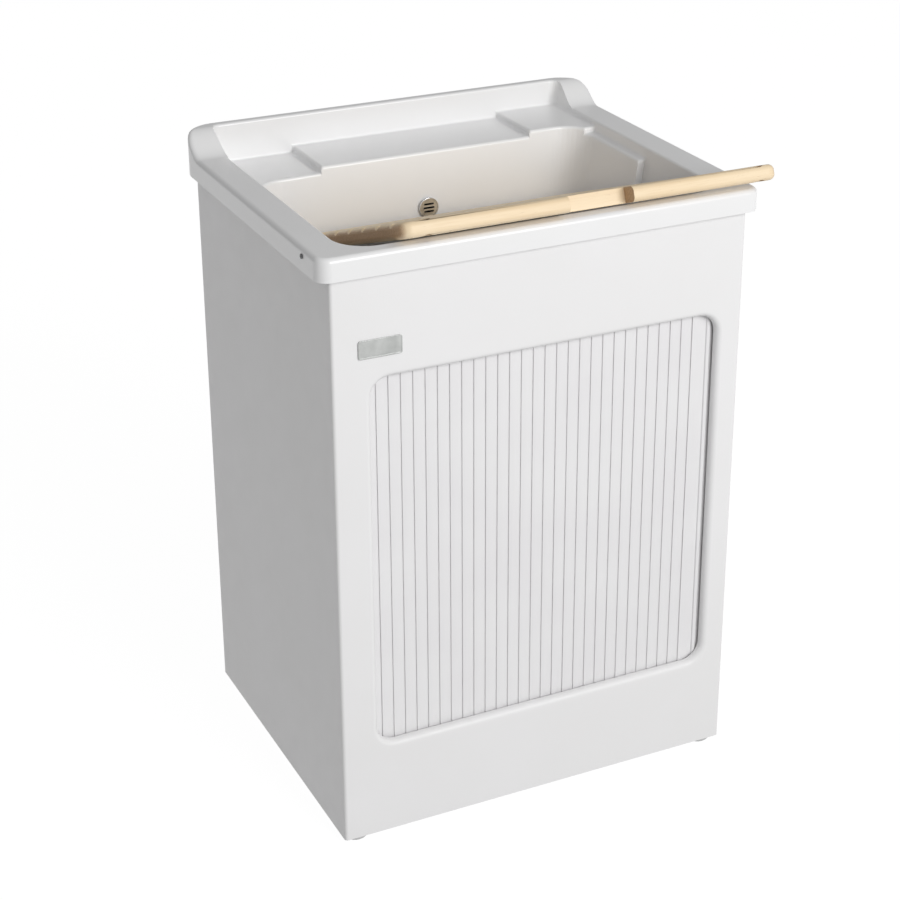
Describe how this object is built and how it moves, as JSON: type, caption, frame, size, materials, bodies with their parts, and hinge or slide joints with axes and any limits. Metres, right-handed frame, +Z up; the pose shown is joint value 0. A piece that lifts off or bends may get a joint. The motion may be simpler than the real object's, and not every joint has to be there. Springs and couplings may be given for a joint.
{
  "type": "laundry sink cabinet",
  "caption": "Free-standing laundry sink: moulded tub with backsplash on a plastic cabinet with a sliding slatted shutter, drain, trap and wooden washboard.",
  "frame": {"origin": "middle of the whole part's footprint, on the floor under the feet", "axes": "+X to the right seen from the front, +Y to the back, +Z up"},
  "size_m": [0.6216, 0.4962, 0.8446],
  "materials": {
    "tub_white": "smooth satin-gloss moulded white",
    "cabinet_white": "satin white plastic panel with faint mottle",
    "slat_white": "satin white extruded plastic",
    "grey_plastic": "grey moulded plumbing plastic",
    "foot_plastic": "light grey moulded plastic",
    "trap_white": "white moulded plumbing plastic",
    "black_rubber": "matt black rubber",
    "chromed": "bright chrome",
    "badge": "plain silver-grey plate, no mark",
    "screw_steel": "dull steel",
    "beech": "oiled light solid wood"
  },
  "bodies": {
    "cabinet": {"basin": "tub_white", "front_frame": "cabinet_white", "left_side_panel": "cabinet_white", "right_side_panel": "cabinet_white", "back_panel": "cabinet_white", "bottom_panel": "cabinet_white", "lower_track": "grey_plastic", "upper_track": "grey_plastic", "drain_flange": "chromed", "drain_gasket": "black_rubber", "drain_nut": "grey_plastic", "tailpiece": "grey_plastic", "trap_body": "trap_white", "trap_cup": "trap_white", "outlet_pipe": "grey_plastic", "overflow_cap": "chromed", "overflow_elbow": "grey_plastic", "overflow_pipe": "grey_plastic", "badge_plate": "badge", "skirt_screw_left": "screw_steel", "skirt_screw_right": "screw_steel", "foot_front_left": "foot_plastic", "foot_front_right": "foot_plastic", "foot_rear_left": "foot_plastic", "foot_rear_right": "foot_plastic"},
    "leading_slat": {"leading_slat": "slat_white"},
    "slat_01": {"slat_01": "slat_white"},
    "slat_02": {"slat_02": "slat_white"},
    "slat_03": {"slat_03": "slat_white"},
    "slat_04": {"slat_04": "slat_white"},
    "slat_05": {"slat_05": "slat_white"},
    "slat_06": {"slat_06": "slat_white"},
    "slat_07": {"slat_07": "slat_white"},
    "slat_08": {"slat_08": "slat_white"},
    "slat_09": {"slat_09": "slat_white"},
    "slat_10": {"slat_10": "slat_white"},
    "slat_11": {"slat_11": "slat_white"},
    "slat_12": {"slat_12": "slat_white"},
    "slat_13": {"slat_13": "slat_white"},
    "slat_14": {"slat_14": "slat_white"},
    "slat_15": {"slat_15": "slat_white"},
    "slat_16": {"slat_16": "slat_white"},
    "slat_17": {"slat_17": "slat_white"},
    "slat_18": {"slat_18": "slat_white"},
    "slat_19": {"slat_19": "slat_white"},
    "slat_20": {"slat_20": "slat_white"},
    "slat_21": {"slat_21": "slat_white"},
    "slat_22": {"slat_22": "slat_white"},
    "slat_23": {"slat_23": "slat_white"},
    "slat_24": {"slat_24": "slat_white"},
    "slat_25": {"slat_25": "slat_white"},
    "slat_26": {"slat_26": "slat_white"},
    "slat_27": {"slat_27": "slat_white"},
    "slat_28": {"slat_28": "slat_white"},
    "washboard": {"washboard": "beech"},
    "drain_plug": {"drain_plug": "black_rubber"}
  },
  "joints": [
    {"name": "shutter_slide", "type": "slide", "parent": "cabinet", "child": "leading_slat", "axis": [-1, 0, 0], "range_m": [0, 0.487]},
    {"name": "slat_01_slide", "type": "slide", "parent": "cabinet", "child": "slat_01", "axis": [-0.5519, 0.8339, 0], "range_m": [0, 0.05037]},
    {"name": "slat_02_slide", "type": "slide", "parent": "cabinet", "child": "slat_02", "axis": [-0.7373, 0.6756, 0], "range_m": [0, 0.05995]},
    {"name": "slat_03_slide", "type": "slide", "parent": "cabinet", "child": "slat_03", "axis": [-0.8409, 0.5412, 0], "range_m": [0, 0.07207]},
    {"name": "slat_04_slide", "type": "slide", "parent": "cabinet", "child": "slat_04", "axis": [-0.899, 0.4378, 0], "range_m": [0, 0.08565]},
    {"name": "slat_05_slide", "type": "slide", "parent": "cabinet", "child": "slat_05", "axis": [-0.9331, 0.3596, 0], "range_m": [0, 0.1001]},
    {"name": "slat_06_slide", "type": "slide", "parent": "cabinet", "child": "slat_06", "axis": [-0.954, 0.2998, 0], "range_m": [0, 0.1151]},
    {"name": "slat_07_slide", "type": "slide", "parent": "cabinet", "child": "slat_07", "axis": [-0.9675, 0.253, 0], "range_m": [0, 0.13045]},
    {"name": "slat_08_slide", "type": "slide", "parent": "cabinet", "child": "slat_08", "axis": [-0.9765, 0.2157, 0], "range_m": [0, 0.14604]},
    {"name": "slat_09_slide", "type": "slide", "parent": "cabinet", "child": "slat_09", "axis": [-0.9827, 0.1854, 0], "range_m": [0, 0.16181]},
    {"name": "slat_10_slide", "type": "slide", "parent": "cabinet", "child": "slat_10", "axis": [-0.9871, 0.1604, 0], "range_m": [0, 0.1777]},
    {"name": "slat_11_slide", "type": "slide", "parent": "cabinet", "child": "slat_11", "axis": [-0.9902, 0.1394, 0], "range_m": [0, 0.19369]},
    {"name": "slat_12_slide", "type": "slide", "parent": "cabinet", "child": "slat_12", "axis": [-0.9926, 0.1216, 0], "range_m": [0, 0.20976]},
    {"name": "slat_13_slide", "type": "slide", "parent": "cabinet", "child": "slat_13", "axis": [-0.9943, 0.1063, 0], "range_m": [0, 0.22588]},
    {"name": "slat_14_slide", "type": "slide", "parent": "cabinet", "child": "slat_14", "axis": [-0.9957, 0.093, 0], "range_m": [0, 0.24205]},
    {"name": "slat_15_slide", "type": "slide", "parent": "cabinet", "child": "slat_15", "axis": [-0.9967, 0.0813, 0], "range_m": [0, 0.25826]},
    {"name": "slat_16_slide", "type": "slide", "parent": "cabinet", "child": "slat_16", "axis": [-0.9975, 0.071, 0], "range_m": [0, 0.2745]},
    {"name": "slat_17_slide", "type": "slide", "parent": "cabinet", "child": "slat_17", "axis": [-0.9981, 0.0619, 0], "range_m": [0, 0.29076]},
    {"name": "slat_18_slide", "type": "slide", "parent": "cabinet", "child": "slat_18", "axis": [-0.9986, 0.0537, 0], "range_m": [0, 0.30705]},
    {"name": "slat_19_slide", "type": "slide", "parent": "cabinet", "child": "slat_19", "axis": [-0.9989, 0.0464, 0], "range_m": [0, 0.32335]},
    {"name": "slat_20_slide", "type": "slide", "parent": "cabinet", "child": "slat_20", "axis": [-0.9992, 0.0397, 0], "range_m": [0, 0.33967]},
    {"name": "slat_21_slide", "type": "slide", "parent": "cabinet", "child": "slat_21", "axis": [-0.9994, 0.0337, 0], "range_m": [0, 0.356]},
    {"name": "slat_22_slide", "type": "slide", "parent": "cabinet", "child": "slat_22", "axis": [-0.9996, 0.0282, 0], "range_m": [0, 0.37235]},
    {"name": "slat_23_slide", "type": "slide", "parent": "cabinet", "child": "slat_23", "axis": [-0.9997, 0.0232, 0], "range_m": [0, 0.38871]},
    {"name": "slat_24_slide", "type": "slide", "parent": "cabinet", "child": "slat_24", "axis": [-0.9998, 0.0185, 0], "range_m": [0, 0.40507]},
    {"name": "slat_25_slide", "type": "slide", "parent": "cabinet", "child": "slat_25", "axis": [-0.9999, 0.0142, 0], "range_m": [0, 0.42145]},
    {"name": "slat_26_slide", "type": "slide", "parent": "cabinet", "child": "slat_26", "axis": [-0.9999, 0.0103, 0], "range_m": [0, 0.43783]},
    {"name": "slat_27_slide", "type": "slide", "parent": "cabinet", "child": "slat_27", "axis": [-1, 0.0066, 0], "range_m": [0, 0.45421]},
    {"name": "slat_28_slide", "type": "slide", "parent": "cabinet", "child": "slat_28", "axis": [-1, 0.0032, 0], "range_m": [0, 0.4706]},
    {"name": "washboard_lift", "type": "slide", "parent": "cabinet", "child": "washboard", "axis": [0, 0, 1], "range_m": [0, 0.25]},
    {"name": "plug_lift", "type": "slide", "parent": "cabinet", "child": "drain_plug", "axis": [0, 0, 1], "range_m": [0, 0.15]}
  ],
  "couplings": [
    {"joint": "slat_01_slide", "follows": "shutter_slide", "ratio": 0.10342},
    {"joint": "slat_02_slide", "follows": "shutter_slide", "ratio": 0.1231},
    {"joint": "slat_03_slide", "follows": "shutter_slide", "ratio": 0.14798},
    {"joint": "slat_04_slide", "follows": "shutter_slide", "ratio": 0.17586},
    {"joint": "slat_05_slide", "follows": "shutter_slide", "ratio": 0.20554},
    {"joint": "slat_06_slide", "follows": "shutter_slide", "ratio": 0.23633},
    {"joint": "slat_07_slide", "follows": "shutter_slide", "ratio": 0.26785},
    {"joint": "slat_08_slide", "follows": "shutter_slide", "ratio": 0.29987},
    {"joint": "slat_09_slide", "follows": "shutter_slide", "ratio": 0.33225},
    {"joint": "slat_10_slide", "follows": "shutter_slide", "ratio": 0.36489},
    {"joint": "slat_11_slide", "follows": "shutter_slide", "ratio": 0.39772},
    {"joint": "slat_12_slide", "follows": "shutter_slide", "ratio": 0.43071},
    {"joint": "slat_13_slide", "follows": "shutter_slide", "ratio": 0.46382},
    {"joint": "slat_14_slide", "follows": "shutter_slide", "ratio": 0.49702},
    {"joint": "slat_15_slide", "follows": "shutter_slide", "ratio": 0.5303},
    {"joint": "slat_16_slide", "follows": "shutter_slide", "ratio": 0.56364},
    {"joint": "slat_17_slide", "follows": "shutter_slide", "ratio": 0.59704},
    {"joint": "slat_18_slide", "follows": "shutter_slide", "ratio": 0.63048},
    {"joint": "slat_19_slide", "follows": "shutter_slide", "ratio": 0.66396},
    {"joint": "slat_20_slide", "follows": "shutter_slide", "ratio": 0.69747},
    {"joint": "slat_21_slide", "follows": "shutter_slide", "ratio": 0.73101},
    {"joint": "slat_22_slide", "follows": "shutter_slide", "ratio": 0.76458},
    {"joint": "slat_23_slide", "follows": "shutter_slide", "ratio": 0.79816},
    {"joint": "slat_24_slide", "follows": "shutter_slide", "ratio": 0.83176},
    {"joint": "slat_25_slide", "follows": "shutter_slide", "ratio": 0.86539},
    {"joint": "slat_26_slide", "follows": "shutter_slide", "ratio": 0.89902},
    {"joint": "slat_27_slide", "follows": "shutter_slide", "ratio": 0.93267},
    {"joint": "slat_28_slide", "follows": "shutter_slide", "ratio": 0.96633}
  ]
}
